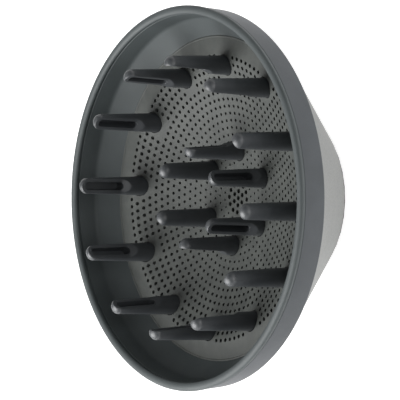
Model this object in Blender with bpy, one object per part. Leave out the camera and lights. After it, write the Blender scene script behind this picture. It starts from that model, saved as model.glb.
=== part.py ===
"""Hair dryer diffuser: a conical shell with a bowl of hollow air fingers.

The object is built as it comes apart on a bench.  A docking collar with hidden
magnets clips to the dryer's round outlet.  A conical shell carries a moulded
bowl and its trim band.  In the bowl lies a dished, perforated plate; eighteen
hollow fingers stand through it, and a spider behind the plate holds their feet.
A liner inside the shell guides the hot air past a flow spreader to the plate.

Units are metres.  +Z runs along the axis, out of the bowl's mouth.  The origin
is the centre of the collar's rear face, which is the face the object rests on.
"""

from math import atan2, cos, pi, radians, sin, sqrt

import bmesh
import bpy
from mathutils import Matrix, Vector

# ---------------------------------------------------------------- overall sizes
RIM_RADIUS = 0.0800          # outside of the bowl's rolled lip
LIP_HEIGHT = 0.0570          # rest face to the widest line of the lip
COLLAR_RADIUS = 0.0365       # outside of the docking collar
BOWL_DEPTH = 0.0168          # lip line down to the plate's flat border

# -------------------------------------------------------------- fits and detail
GAP = 0.0003                 # clearance between pieces that touch
ROUND_STEPS = 56             # facets round the large turned pieces
SMALL_STEPS = 36             # facets round the collar's pieces
SHARP_ANGLE = radians(35)    # edges sharper than this stay crisp
FACET_TURN = radians(3)      # keeps facet edges off the centre lines of holes and pockets

# ------------------------------------------------------------------------ shell
SHELL_WALL = 0.0016
SHELL_BASE_STEP = 0.00115    # the shell's small end stands this far outside the collar
SHELL_BASE_HEIGHT = 0.0012   # rest face to the shell's small end
SHELL_FLANGE = 0.0016        # thickness of the turned-in end that the collar clamps
SHELL_RIM_INSET = 0.0018     # the shell's large end lies this far inside the lip
SHELL_TONGUE = 0.0008        # wall of the spigot that enters the trim band

# ------------------------------------------------------- bowl, lip and trim band
BOWL_WALL = 0.0015
BOWL_AIR_GAP = 0.0009        # air between the shell and the bowl's cone
LIP_WIDTH = 0.0037
LIP_RISE = 0.0013            # lip line up to its crest
LIP_GROOVE_DROP = 0.0016     # lip line down to the parting line with the band
BOWL_WALL_DRAFT = 0.0010     # lean of the steep wall under the lip
BAND_REAR_DROP = 0.0117      # lip line down to the band's rear edge
BAND_TOP_INSET = 0.0003
BAND_REAR_INSET = 0.0011
LEDGE_THICKNESS = 0.0020
LEDGE_MARGIN = 0.0010        # the ledge starts this far outside the dish

# ------------------------------------------------------------------------ plate
PLATE_THICKNESS = 0.0012
BORDER_WIDTH = 0.0068        # flat border between the dish and the plate's edge
DISH_DEPTH = 0.0122
DISH_ROLL = 0.00255          # the sphere ends this far inside the dish's edge
DISH_STEPS = 4               # rings of facets across the dish
PLATE_STEPS = 36             # facets round the plate
ROSE_RINGS = 2               # rings of large holes at the centre
ROSE_PITCH = 0.0030
ROSE_HOLE_RADIUS = 0.0010
VENT_RINGS = ((0.0120, 12), (0.0300, 24), (0.0420, 36))
VENT_HOLE_RADIUS = 0.0012

# ---------------------------------------------------------------------- fingers
OUTER_COUNT = 12
INNER_COUNT = 6
OUTER_RING_INSET = 0.0053    # the outer finger ring lies this far inside the dish edge
INNER_RING_RADIUS = 0.0200
OUTER_LENGTH = 0.0307        # plate surface to tip
INNER_LENGTH = 0.0274
FINGER_BASE_RADIUS = 0.0042
FINGER_TIP_RADIUS = 0.0033
FINGER_NOSE = 0.0030         # height of the rounded end
FOOT_RIM = 0.0013            # the foot's flange stands this far outside the finger
FOOT_THICKNESS = 0.0012
SCOOP_TIP_DEPTH = 0.0008     # axis to the sliced face at the tip
SCOOP_WAIST_DEPTH = 0.0023   # axis to the sliced face where it starts to curve out
SCOOP_WAIST = 0.0170         # tip down to that place
SCOOP_END = 0.0232           # tip down to the full round section
SLOT_WIDTH = 0.0033
SLOT_TOP = 0.0017            # tip down to the slot
SLOT_LENGTH = 0.0190
SLOT_BACK_WALL = 0.0019
FINGER_BORE_RADIUS = 0.0021
FINGER_SIDES = 10

# -------------------------------------------------- spider that holds the fingers
SPIDER_THICKNESS = 0.0018
SPIDER_RIM_WIDTH = 0.0072
SPIDER_HUB_WIDTH = 0.0084
SPOKE_WIDTH = 0.0040
SPOKE_THICKNESS = 0.0014
SPOKE_COUNT = 6
AIR_HOLE_RADIUS = 0.0026
LUG_COUNT = 6
LUG_INSET = 0.0042           # ledge's inner edge in to the lug's screw
LUG_RADIUS = 0.0025
LUG_ROOT = 0.0003            # height that a lug enters the ledge
SCREW_RADIUS = 0.0011
SCREW_HEAD_RADIUS = 0.0019
SCREW_HEAD_HEIGHT = 0.0012
SCREW_END_CLEARANCE = 0.0004

# ------------------------------------------------------------- liner and spreader
LINER_WALL = 0.0010
LINER_AIR_GAP = 0.0006       # air between the shell and the liner
LINER_FLANGE = 0.0014
SPREADER_RING_THICKNESS = 0.0012
SPREADER_RING_WIDTH = 0.0064
SPREADER_RADIUS = 0.0135
SPREADER_HEIGHT = 0.0095
SPREADER_CLEARANCE = 0.0020  # spreader's top to the spider's hub
SPREADER_SKIRT = 0.0014
ARM_COUNT = 4
ARM_WIDTH = 0.0018
ARM_THICKNESS = 0.0030

# ---------------------------------------------------------------- docking collar
COLLAR_HEIGHT = 0.0070
SHOULDER_WIDTH = 0.0025      # step that clamps the shell's turned-in end
SEAL_WIDTH = 0.0025
SEAL_HEIGHT = 0.0026
SEAL_LIP = 0.0007
SEAL_WALL = 0.0006           # wall between the seal and the magnets' cover
COVER_THICKNESS = 0.0008
COVER_OVERLAP = 0.0006       # the cover reaches this far past the magnets
MAGNET_COUNT = 8
MAGNET_RADIUS = 0.0024
MAGNET_THICKNESS = 0.0022
COVER_WALL = 0.0008          # wall between the cover's seat and the spigot's outside
COLLAR_SCREWS = 4
COLLAR_SCREW_DEPTH = 0.0036

# --------------------------------------------------------------- derived sizes
SHELL_BASE_RADIUS = COLLAR_RADIUS + SHELL_BASE_STEP
SHELL_RIM_RADIUS = RIM_RADIUS - SHELL_RIM_INSET
BAND_TOP = LIP_HEIGHT - LIP_GROOVE_DROP
BAND_REAR = LIP_HEIGHT - BAND_REAR_DROP
CONE_RUN = SHELL_RIM_RADIUS - SHELL_BASE_RADIUS
CONE_RISE = BAND_REAR - SHELL_BASE_HEIGHT
CONE_ANGLE = atan2(CONE_RISE, CONE_RUN)

SHELL_INSIDE = SHELL_WALL
BOWL_OUTSIDE = SHELL_WALL + BOWL_AIR_GAP
BOWL_INSIDE = BOWL_OUTSIDE + BOWL_WALL
LINER_OUTSIDE = SHELL_WALL + LINER_AIR_GAP
LINER_INSIDE = LINER_OUTSIDE + LINER_WALL


def cone_height(radius, depth):
    """Height of the cone surface that lies depth inside the shell's outside."""
    slope = CONE_RISE / CONE_RUN
    return SHELL_BASE_HEIGHT + (radius - SHELL_BASE_RADIUS) * slope + depth / cos(CONE_ANGLE)


def cone_radius(height, depth):
    """Radius of the same cone surface at a height."""
    slope = CONE_RISE / CONE_RUN
    lift = height - SHELL_BASE_HEIGHT - depth / cos(CONE_ANGLE)
    return SHELL_BASE_RADIUS + lift / slope


LIP_INNER_RADIUS = RIM_RADIUS - LIP_WIDTH
WALL_FOOT_RADIUS = LIP_INNER_RADIUS - BOWL_WALL_DRAFT
WALL_OUTER_RADIUS = LIP_INNER_RADIUS + BOWL_WALL - BOWL_WALL_DRAFT / 2
PLATE_TOP = LIP_HEIGHT - BOWL_DEPTH
PLATE_UNDER = PLATE_TOP - PLATE_THICKNESS
RECESS_RADIUS = cone_radius(PLATE_TOP, BOWL_INSIDE)
PLATE_RADIUS = RECESS_RADIUS - GAP
DISH_RADIUS = PLATE_RADIUS - BORDER_WIDTH
DISH_CENTRE = PLATE_TOP - DISH_DEPTH
DISH_SPAN = DISH_RADIUS - DISH_ROLL
DISH_CURVE = (DISH_SPAN ** 2 + DISH_DEPTH ** 2) / (2 * DISH_DEPTH)
LEDGE_TOP = PLATE_UNDER - GAP
LEDGE_BOTTOM = LEDGE_TOP - LEDGE_THICKNESS
LEDGE_INNER_RADIUS = DISH_RADIUS + LEDGE_MARGIN


def dish_height(radius):
    """Height of the plate's upper surface: a sphere that rolls into a flat border."""
    sphere = DISH_CENTRE + DISH_CURVE - sqrt(DISH_CURVE ** 2 - radius ** 2)
    return min(sphere, PLATE_TOP)


OUTER_RING_RADIUS = DISH_RADIUS - OUTER_RING_INSET
FOOT_RADIUS = FINGER_BASE_RADIUS + FOOT_RIM


def foot_bottom(ring_radius):
    """Underside of a finger's flange, which lies just beneath the sloping plate."""
    slope_allowance = PLATE_THICKNESS * DISH_CURVE / sqrt(DISH_CURVE ** 2 - ring_radius ** 2)
    lowest_plate = dish_height(ring_radius - FOOT_RADIUS) - slope_allowance
    return lowest_plate - GAP - FOOT_THICKNESS


SPIDER_RIM_TOP = foot_bottom(OUTER_RING_RADIUS) - GAP
SPIDER_HUB_TOP = foot_bottom(INNER_RING_RADIUS) - GAP
LUG_BOTTOM = SPIDER_RIM_TOP + GAP
LUG_CIRCLE = LEDGE_INNER_RADIUS - LUG_INSET
SCREW_SEAT = SPIDER_RIM_TOP - SPIDER_THICKNESS - GAP

SPIGOT_RADIUS = COLLAR_RADIUS - SHOULDER_WIDTH
COVER_WIDTH = 2 * (MAGNET_RADIUS + COVER_OVERLAP)
MAGNET_CIRCLE = SPIGOT_RADIUS - COVER_WALL - GAP - COVER_WIDTH / 2
COVER_SEAT_DEPTH = COVER_THICKNESS + 2 * GAP
SEAL_SEAT_RADIUS = MAGNET_CIRCLE - COVER_WIDTH / 2 - GAP - SEAL_WALL
BORE_RADIUS = SEAL_SEAT_RADIUS - SEAL_WIDTH
LINER_BASE = COLLAR_HEIGHT + GAP
SPREADER_RING_BASE = LINER_BASE + LINER_FLANGE + GAP
SPREADER_TOP = SPIDER_HUB_TOP - SPIDER_THICKNESS - SPREADER_CLEARANCE

LUG_TURN = pi / OUTER_COUNT              # lugs lie midway between outer fingers
COLLAR_TURN = pi / MAGNET_COUNT          # collar screws lie midway between magnets
ARM_TURN = COLLAR_TURN + pi / ARM_COUNT  # arms lie midway between those screws


# --------------------------------------------------------------------- materials
def srgb(red, green, blue):
    """Linear colour from 0-255 sRGB values."""
    values = []
    for channel in (red, green, blue):
        share = channel / 255
        if share <= 0.04045:
            values.append(share / 12.92)
        else:
            values.append(((share + 0.055) / 1.055) ** 2.4)
    return (*values, 1.0)


def make_material(name, colour, roughness, metallic=0.0):
    """A plain Principled material."""
    material = bpy.data.materials.new(name)
    material.use_nodes = True
    shader = material.node_tree.nodes["Principled BSDF"]
    shader.inputs["Base Color"].default_value = colour
    shader.inputs["Roughness"].default_value = roughness
    shader.inputs["Metallic"].default_value = metallic
    material.diffuse_color = colour
    return material


# ---------------------------------------------------------------- mesh helpers
def finish_mesh(name, bm):
    """Turn a bmesh into a smooth-shaded mesh with outward faces."""
    bmesh.ops.recalc_face_normals(bm, faces=bm.faces)
    mesh = bpy.data.meshes.new(name)
    bm.to_mesh(mesh)
    bm.free()
    mesh.shade_smooth()
    mesh.set_sharp_from_angle(angle=SHARP_ANGLE)
    return mesh


def place(name, mesh, material=None, location=(0, 0, 0), turn=0.0):
    """Put a mesh in the scene as an object of its own, under the root empty."""
    piece = bpy.data.objects.new(name, mesh)
    bpy.context.scene.collection.objects.link(piece)
    piece.location = location
    piece.rotation_euler.z = turn
    if material is not None and not mesh.materials:
        mesh.materials.append(material)
    piece.parent = bpy.data.objects.get("diffuser_frame")
    return piece


def turned_mesh(name, outline, steps, turn=FACET_TURN):
    """Spin a closed outline of (radius, height) points right round the Z axis."""
    bm = bmesh.new()
    points = []
    for radius, height in outline:
        points.append(bm.verts.new((radius * cos(turn), radius * sin(turn), height)))
    edges = [bm.edges.new((points[i - 1], points[i])) for i in range(len(points))]
    bmesh.ops.spin(
        bm, geom=points + edges, axis=(0, 0, 1), cent=(0, 0, 0),
        angle=2 * pi, steps=steps, use_merge=True)
    on_axis = [vert for vert in bm.verts if vert.co.xy.length < GAP / 100]
    bmesh.ops.remove_doubles(bm, verts=on_axis, dist=GAP / 10)
    loose = [edge for edge in bm.edges if not edge.link_faces]
    bmesh.ops.delete(bm, geom=loose, context="EDGES")
    return finish_mesh(name, bm)


def ring_points(count, radius, first_angle=0.0):
    """Centres of count equal places round a circle, with their angles."""
    places = []
    for index in range(count):
        angle = first_angle + 2 * pi * index / count
        places.append((radius * cos(angle), radius * sin(angle), angle))
    return places


def add_cylinder(bm, x, y, bottom, top, radius, sides):
    """Add one upright closed cylinder to a bmesh."""
    middle = Matrix.Translation((x, y, (bottom + top) / 2))
    bmesh.ops.create_cone(
        bm, cap_ends=True, segments=sides, radius1=radius, radius2=radius,
        depth=top - bottom, matrix=middle)


def cylinders_mesh(name, places, bottom, top, radius, sides):
    """One mesh of equal upright cylinders at (x, y, angle) places."""
    bm = bmesh.new()
    for x, y, _ in places:
        add_cylinder(bm, x, y, bottom, top, radius, sides)
    return finish_mesh(name, bm)


def bars_mesh(name, count, first_angle, inner, outer, width, thickness):
    """Radial bars between two (radius, height) places on their centre lines."""
    bm = bmesh.new()
    half = width / 2
    for _, _, angle in ring_points(count, 1.0, first_angle):
        turn = Matrix.Rotation(angle, 4, "Z")
        corners = []
        for radius, height in (inner, outer):
            for side, level in ((-half, -0.5), (half, -0.5), (half, 0.5), (-half, 0.5)):
                point = turn @ Vector((radius, side, height + level * thickness))
                corners.append(bm.verts.new(point))
        bm.faces.new(corners[:4])
        bm.faces.new(corners[4:])
        for k in range(4):
            bm.faces.new((corners[k], corners[(k + 1) % 4], corners[4 + (k + 1) % 4], corners[4 + k]))
    return finish_mesh(name, bm)


def combine(piece, mesh, operation):
    """Join a mesh to a piece, or cut it away, with a Boolean modifier."""
    tool = bpy.data.objects.new(mesh.name, mesh)
    bpy.context.scene.collection.objects.link(tool)
    tool.parent = piece
    tool.hide_render = True
    tool.display_type = "WIRE"
    modifier = piece.modifiers.new(mesh.name, "BOOLEAN")
    modifier.operation = operation
    modifier.solver = "EXACT"
    modifier.object = tool


# --------------------------------------------------------- shell, band and bowl
def build_outer_shell(material):
    """Thin cone with a turned-in small end and a spigot at the large end."""
    tongue_outer = SHELL_RIM_RADIUS - GAP
    tongue_inner = tongue_outer - SHELL_TONGUE
    tongue_top = cone_height(tongue_inner - GAP, BOWL_OUTSIDE)
    flange_top = SHELL_BASE_HEIGHT + SHELL_FLANGE
    outline = [
        (SPIGOT_RADIUS + GAP, SHELL_BASE_HEIGHT),
        (SHELL_BASE_RADIUS, SHELL_BASE_HEIGHT),
        (tongue_outer, cone_height(tongue_outer, 0)),
        (tongue_outer, tongue_top),
        (tongue_inner, tongue_top),
        (tongue_inner, cone_height(tongue_inner, SHELL_INSIDE)),
        (cone_radius(flange_top, SHELL_INSIDE), flange_top),
        (SPIGOT_RADIUS + GAP, flange_top),
    ]
    place("outer_shell", turned_mesh("outer_shell", outline, ROUND_STEPS, 0.0), material)


def build_rim_band(material):
    """Trim ring between the lip and the shell; its rebate takes the shell's spigot."""
    tongue_top = cone_height(SHELL_RIM_RADIUS - SHELL_TONGUE - 2 * GAP, BOWL_OUTSIDE)
    rebate_top = tongue_top + GAP
    top_radius = RIM_RADIUS - BAND_TOP_INSET
    rear_radius = RIM_RADIUS - BAND_REAR_INSET
    edge = BAND_TOP_INSET
    outline = [
        (SHELL_RIM_RADIUS, BAND_REAR),
        (rear_radius - edge, BAND_REAR),
        (rear_radius, BAND_REAR + edge),
        (top_radius, BAND_TOP - 2 * edge),
        (top_radius - 2 * edge, BAND_TOP),
        (WALL_OUTER_RADIUS + GAP, BAND_TOP),
        (WALL_OUTER_RADIUS + GAP, rebate_top),
        (SHELL_RIM_RADIUS, rebate_top),
    ]
    place("rim_band", turned_mesh("rim_band", outline, ROUND_STEPS, 0.0), material)


def build_inner_bowl(material):
    """Rolled lip, steep wall, cone and the ledge that the plate lies on."""
    lip_centre = RIM_RADIUS - LIP_WIDTH / 2
    lip_under = BAND_TOP + GAP
    outline = []
    for degrees in (180, 135, 90, 45, 0, -35):
        angle = radians(degrees)
        outline.append((lip_centre + LIP_WIDTH / 2 * cos(angle), LIP_HEIGHT + LIP_RISE * sin(angle)))
    outline += [
        (RIM_RADIUS - 3 * BAND_TOP_INSET, lip_under),
        (WALL_OUTER_RADIUS, lip_under),
        (WALL_OUTER_RADIUS, cone_height(WALL_OUTER_RADIUS, BOWL_OUTSIDE)),
        (cone_radius(LEDGE_BOTTOM, BOWL_OUTSIDE), LEDGE_BOTTOM),
        (LEDGE_INNER_RADIUS, LEDGE_BOTTOM),
        (LEDGE_INNER_RADIUS, LEDGE_TOP),
        (RECESS_RADIUS, LEDGE_TOP),
        (RECESS_RADIUS, PLATE_TOP),
        (WALL_FOOT_RADIUS, cone_height(WALL_FOOT_RADIUS, BOWL_INSIDE)),
    ]
    bowl = place("inner_bowl", turned_mesh("inner_bowl", outline, ROUND_STEPS, 0.0), material)
    lug_height = LEDGE_BOTTOM + LUG_ROOT - LUG_BOTTOM
    lug_line = LUG_BOTTOM + lug_height / 2
    lugs = bars_mesh(
        "bowl_lugs", LUG_COUNT, LUG_TURN,
        (LUG_CIRCLE - LUG_RADIUS, lug_line), (LEDGE_INNER_RADIUS + LEDGE_MARGIN, lug_line),
        2 * LUG_RADIUS, lug_height)
    combine(bowl, lugs, "UNION")
    pilot_top = LEDGE_BOTTOM - SCREW_END_CLEARANCE
    pilots = cylinders_mesh(
        "bowl_pilots", ring_points(LUG_COUNT, LUG_CIRCLE, LUG_TURN),
        LUG_BOTTOM - SCREW_RADIUS, pilot_top, SCREW_RADIUS + GAP, 8)
    combine(bowl, pilots, "DIFFERENCE")


# ----------------------------------------------------------------------- plate
def plate_outline():
    """Section of the dished plate, top surface out and underside back."""
    dish_end = DISH_RADIUS - FOOT_RADIUS / 2
    radii = [dish_end * step / DISH_STEPS for step in range(DISH_STEPS + 1)]
    upper = [(radius, dish_height(radius)) for radius in radii]
    upper.append((DISH_RADIUS, PLATE_TOP))
    upper.append((PLATE_RADIUS, PLATE_TOP))
    lower = [(radius, height - PLATE_THICKNESS) for radius, height in upper]
    return upper + lower[::-1]


def build_plate(material):
    """Dished plate with a rose of large holes, wider vents and finger holes."""
    blank = turned_mesh("diffuser_plate", plate_outline(), PLATE_STEPS)
    plate = place("diffuser_plate", blank, material)
    below = DISH_CENTRE - 2 * PLATE_THICKNESS
    above = PLATE_TOP + PLATE_THICKNESS
    finger_places = ring_points(OUTER_COUNT, OUTER_RING_RADIUS)
    finger_places += ring_points(INNER_COUNT, INNER_RING_RADIUS)
    seats = cylinders_mesh(
        "plate_seats", finger_places, below, above, FINGER_BASE_RADIUS + GAP, FINGER_SIDES)
    combine(plate, seats, "DIFFERENCE")
    rose_places = [(0.0, 0.0, 0.0)]
    for ring in range(1, ROSE_RINGS + 1):
        rose_places += ring_points(6 * ring, ring * ROSE_PITCH)
    rose = cylinders_mesh("plate_rose", rose_places, below, above, ROSE_HOLE_RADIUS, 6)
    combine(plate, rose, "DIFFERENCE")
    clear = FINGER_BASE_RADIUS + 2 * VENT_HOLE_RADIUS
    vent_places = []
    for radius, count in VENT_RINGS:
        for x, y, angle in ring_points(count, radius, pi / count):
            distances = [sqrt((x - fx) ** 2 + (y - fy) ** 2) for fx, fy, _ in finger_places]
            if min(distances) > clear:
                vent_places.append((x, y, angle))
    vents = cylinders_mesh("plate_vents", vent_places, below, above, VENT_HOLE_RADIUS, 6)
    combine(plate, vents, "DIFFERENCE")


# --------------------------------------------------------------------- fingers
def scoop_depth(drop):
    """Distance from the axis to the sliced face, at a distance below the tip."""
    if drop >= SCOOP_END:
        return FINGER_BASE_RADIUS
    if drop <= SCOOP_WAIST:
        share = drop / SCOOP_WAIST
        return SCOOP_TIP_DEPTH + share * (SCOOP_WAIST_DEPTH - SCOOP_TIP_DEPTH)
    share = (drop - SCOOP_WAIST) / (SCOOP_END - SCOOP_WAIST)
    ease = share * share * (3 - 2 * share)
    return SCOOP_WAIST_DEPTH + ease * (FINGER_BASE_RADIUS - SCOOP_WAIST_DEPTH)


def finger_levels(tip):
    """(height, radius, face depth) of each section from the foot to the tip."""
    levels = [
        (0.0, FOOT_RADIUS, FOOT_RADIUS),
        (FOOT_THICKNESS, FOOT_RADIUS, FOOT_RADIUS),
        (FOOT_THICKNESS, FINGER_BASE_RADIUS, FINGER_BASE_RADIUS),
    ]
    shoulder = tip - FINGER_NOSE
    curve = (SCOOP_END - SCOOP_WAIST) / 2
    for step in range(3):
        drop = SCOOP_END - step * curve
        levels.append((tip - drop, None, scoop_depth(drop)))
    levels.append((shoulder, FINGER_TIP_RADIUS, scoop_depth(FINGER_NOSE)))
    for degrees in (45, 78):
        angle = radians(degrees)
        height = shoulder + FINGER_NOSE * sin(angle)
        levels.append((height, FINGER_TIP_RADIUS * cos(angle), scoop_depth(tip - height)))
    full = []
    for height, radius, depth in levels:
        if radius is None:
            share = (height - FOOT_THICKNESS) / (shoulder - FOOT_THICKNESS)
            radius = FINGER_BASE_RADIUS + share * (FINGER_TIP_RADIUS - FINGER_BASE_RADIUS)
        full.append((height, radius, depth))
    return full


def finger_mesh(name, tip):
    """A finger lofted through its sections; local +X is the sliced side."""
    bm = bmesh.new()
    rings = []
    for height, radius, depth in finger_levels(tip):
        ring = []
        for x, y, _ in ring_points(FINGER_SIDES, radius):
            ring.append(bm.verts.new((min(x, depth), y, height)))
        rings.append(ring)
    for lower, upper in zip(rings, rings[1:]):
        for k in range(FINGER_SIDES):
            after = (k + 1) % FINGER_SIDES
            bm.faces.new((lower[k], lower[after], upper[after], upper[k]))
    bm.faces.new(rings[0])
    bm.faces.new(rings[-1])
    return finish_mesh(name, bm)


def slot_mesh(name, tip):
    """Upright round-ended cutter that opens the sliced face of a finger."""
    bm = bmesh.new()
    half = SLOT_WIDTH / 2
    top = tip - SLOT_TOP - half
    bottom = tip - SLOT_TOP - SLOT_LENGTH + half
    back = SLOT_BACK_WALL - FINGER_TIP_RADIUS
    front = FOOT_RADIUS
    outline = []
    for centre, first in ((top, 0), (bottom, 180)):
        for step in range(4):
            angle = radians(first + 60 * step)
            outline.append((half * cos(angle), centre + half * sin(angle)))
    loops = [[bm.verts.new((x, y, z)) for y, z in outline] for x in (back, front)]
    bm.faces.new(loops[0])
    bm.faces.new(loops[1])
    for k in range(len(outline)):
        bm.faces.new((loops[0][k - 1], loops[0][k], loops[1][k], loops[1][k - 1]))
    return finish_mesh(name, bm)


def build_fingers(material, prefix, count, ring_radius, length, inward):
    """One ring of fingers; the slots of a ring all face in, or all face out."""
    base = foot_bottom(ring_radius)
    tip = dish_height(ring_radius) + length - base
    body = finger_mesh(prefix, tip)
    slot = slot_mesh(prefix + "_slot", tip)
    bore_top = tip - SCOOP_WAIST
    bore = cylinders_mesh(
        prefix + "_bore", [(0.0, 0.0, 0.0)], -FOOT_THICKNESS, bore_top, FINGER_BORE_RADIUS, 6)
    facing = pi if inward else 0.0
    for index, (x, y, angle) in enumerate(ring_points(count, ring_radius), start=1):
        name = f"{prefix}_{index:02d}"
        finger = place(name, body, material, (x, y, base), angle + facing)
        combine(finger, slot, "DIFFERENCE")
        combine(finger, bore, "DIFFERENCE")


# ---------------------------------------------------------------- finger spider
def ring_outline(middle_radius, width, bottom, top):
    """Rectangular section of a flat ring."""
    inner = middle_radius - width / 2
    outer = middle_radius + width / 2
    return [(inner, bottom), (outer, bottom), (outer, top), (inner, top)]


def build_spider(material):
    """Two flat rings joined by sloping spokes, with ears for the bowl's lugs."""
    rim_bottom = SPIDER_RIM_TOP - SPIDER_THICKNESS
    hub_bottom = SPIDER_HUB_TOP - SPIDER_THICKNESS
    rim = ring_outline(OUTER_RING_RADIUS, SPIDER_RIM_WIDTH, rim_bottom, SPIDER_RIM_TOP)
    hub = ring_outline(INNER_RING_RADIUS, SPIDER_HUB_WIDTH, hub_bottom, SPIDER_HUB_TOP)
    spider = place("finger_spider", turned_mesh("finger_spider", rim, SMALL_STEPS), material)
    half = SPIDER_THICKNESS / 2
    spokes = bars_mesh(
        "spider_spokes", SPOKE_COUNT, pi / SPOKE_COUNT,
        (INNER_RING_RADIUS + SPIDER_HUB_WIDTH / 4, SPIDER_HUB_TOP - half),
        (OUTER_RING_RADIUS - SPIDER_RIM_WIDTH / 4, SPIDER_RIM_TOP - half),
        SPOKE_WIDTH, SPOKE_THICKNESS)
    combine(spider, spokes, "UNION")
    combine(spider, turned_mesh("spider_hub", hub, SMALL_STEPS * 2 // 3), "UNION")
    lug_places = ring_points(LUG_COUNT, LUG_CIRCLE, LUG_TURN)
    ears = cylinders_mesh("spider_ears", lug_places, rim_bottom, SPIDER_RIM_TOP, LUG_RADIUS, 12)
    combine(spider, ears, "UNION")
    air_places = ring_points(OUTER_COUNT, OUTER_RING_RADIUS)
    air_places += ring_points(INNER_COUNT, INNER_RING_RADIUS)
    low = hub_bottom - SPIDER_THICKNESS
    high = SPIDER_RIM_TOP + SPIDER_THICKNESS
    combine(spider, cylinders_mesh("spider_air", air_places, low, high, AIR_HOLE_RADIUS, 6), "DIFFERENCE")
    screw_holes = cylinders_mesh("spider_screws", lug_places, low, high, SCREW_RADIUS + GAP, 8)
    combine(spider, screw_holes, "DIFFERENCE")


# ------------------------------------------------------------- liner and spreader
def build_liner(material):
    """Funnel from the collar's spigot to the shell, with a skirt that clamps the shell's end."""
    top = SCREW_SEAT - SCREW_HEAD_HEIGHT - GAP
    base = SHELL_BASE_HEIGHT + SHELL_FLANGE + GAP
    flange_top = LINER_BASE + LINER_FLANGE
    skirt = SPIGOT_RADIUS + GAP
    outline = [
        (skirt, base),
        (skirt + LINER_FLANGE, base),
        (skirt + LINER_FLANGE, flange_top),
        (cone_radius(top, LINER_OUTSIDE), top),
        (cone_radius(top, LINER_INSIDE), top),
        (skirt, flange_top),
        (SEAL_SEAT_RADIUS, flange_top),
        (SEAL_SEAT_RADIUS, LINER_BASE),
        (skirt, LINER_BASE),
    ]
    liner = place("duct_liner", turned_mesh("duct_liner", outline, ROUND_STEPS), material)
    holes = cylinders_mesh(
        "liner_screws", ring_points(COLLAR_SCREWS, MAGNET_CIRCLE, COLLAR_TURN),
        LINER_BASE - LINER_FLANGE, flange_top + LINER_FLANGE, SCREW_RADIUS + GAP, 8)
    combine(liner, holes, "DIFFERENCE")


def build_spreader(material):
    """Central cone on four arms, which turns the straight jet out to the bowl."""
    ring_middle = SEAL_SEAT_RADIUS + SPREADER_RING_WIDTH / 2
    ring_top = SPREADER_RING_BASE + SPREADER_RING_THICKNESS
    ring = ring_outline(ring_middle, SPREADER_RING_WIDTH, SPREADER_RING_BASE, ring_top)
    spreader = place("flow_spreader", turned_mesh("flow_spreader", ring, SMALL_STEPS), material)
    cone = [
        (0.0, SPREADER_TOP - SPREADER_HEIGHT),
        (SPREADER_RADIUS, SPREADER_TOP - SPREADER_SKIRT),
        (SPREADER_RADIUS, SPREADER_TOP),
        (0.0, SPREADER_TOP),
    ]
    arms = bars_mesh(
        "spreader_arms", ARM_COUNT, ARM_TURN,
        (SPREADER_RADIUS / 2, SPREADER_TOP - ARM_THICKNESS / 2 - SPREADER_SKIRT / 2),
        (ring_middle, SPREADER_RING_BASE + ARM_THICKNESS / 2 + GAP),
        ARM_WIDTH, ARM_THICKNESS)
    combine(spreader, arms, "UNION")
    combine(spreader, turned_mesh("spreader_cone", cone, SMALL_STEPS // 2), "UNION")
    holes = cylinders_mesh(
        "spreader_screws", ring_points(COLLAR_SCREWS, MAGNET_CIRCLE, COLLAR_TURN),
        SPREADER_RING_BASE - SPREADER_HEIGHT, ring_top + SPREADER_HEIGHT, SCREW_RADIUS + GAP, 8)
    combine(spreader, holes, "DIFFERENCE")


# ---------------------------------------------------------------- docking collar
def build_collar(material):
    """Docking ring: rest face, magnet pockets, seal seat and spigot."""
    shoulder = SHELL_BASE_HEIGHT - GAP
    outline = [
        (SEAL_SEAT_RADIUS, 0.0),
        (COLLAR_RADIUS, 0.0),
        (COLLAR_RADIUS, shoulder),
        (SPIGOT_RADIUS, shoulder),
        (SPIGOT_RADIUS, COLLAR_HEIGHT),
        (BORE_RADIUS, COLLAR_HEIGHT),
        (BORE_RADIUS, SEAL_HEIGHT),
        (SEAL_SEAT_RADIUS, SEAL_HEIGHT),
    ]
    collar = place("docking_collar", turned_mesh("docking_collar", outline, SMALL_STEPS), material)
    pilots = cylinders_mesh(
        "collar_pilots", ring_points(COLLAR_SCREWS, MAGNET_CIRCLE, COLLAR_TURN),
        COLLAR_HEIGHT - COLLAR_SCREW_DEPTH - SCREW_END_CLEARANCE, COLLAR_HEIGHT + SCREW_RADIUS,
        SCREW_RADIUS + GAP, 8)
    combine(collar, pilots, "DIFFERENCE")
    seat = ring_outline(MAGNET_CIRCLE, COVER_WIDTH + 2 * GAP, -COVER_THICKNESS, COVER_SEAT_DEPTH)
    combine(collar, turned_mesh("collar_seat", seat, SMALL_STEPS), "DIFFERENCE")
    pocket_top = COVER_SEAT_DEPTH + MAGNET_THICKNESS + 2 * GAP
    pockets = cylinders_mesh(
        "collar_pockets", ring_points(MAGNET_COUNT, MAGNET_CIRCLE),
        COVER_SEAT_DEPTH - GAP, pocket_top, MAGNET_RADIUS + GAP, 12)
    combine(collar, pockets, "DIFFERENCE")


def build_seal(material):
    """Soft ring with a bevelled lip in the collar's rear edge."""
    inner = BORE_RADIUS + GAP
    outer = SEAL_SEAT_RADIUS - GAP
    outline = [
        (inner + SEAL_LIP, GAP),
        (outer, GAP),
        (outer, SEAL_HEIGHT - GAP),
        (inner, SEAL_HEIGHT - GAP),
        (inner, GAP + SEAL_LIP),
    ]
    place("inlet_seal", turned_mesh("inlet_seal", outline, SMALL_STEPS), material)


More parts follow.
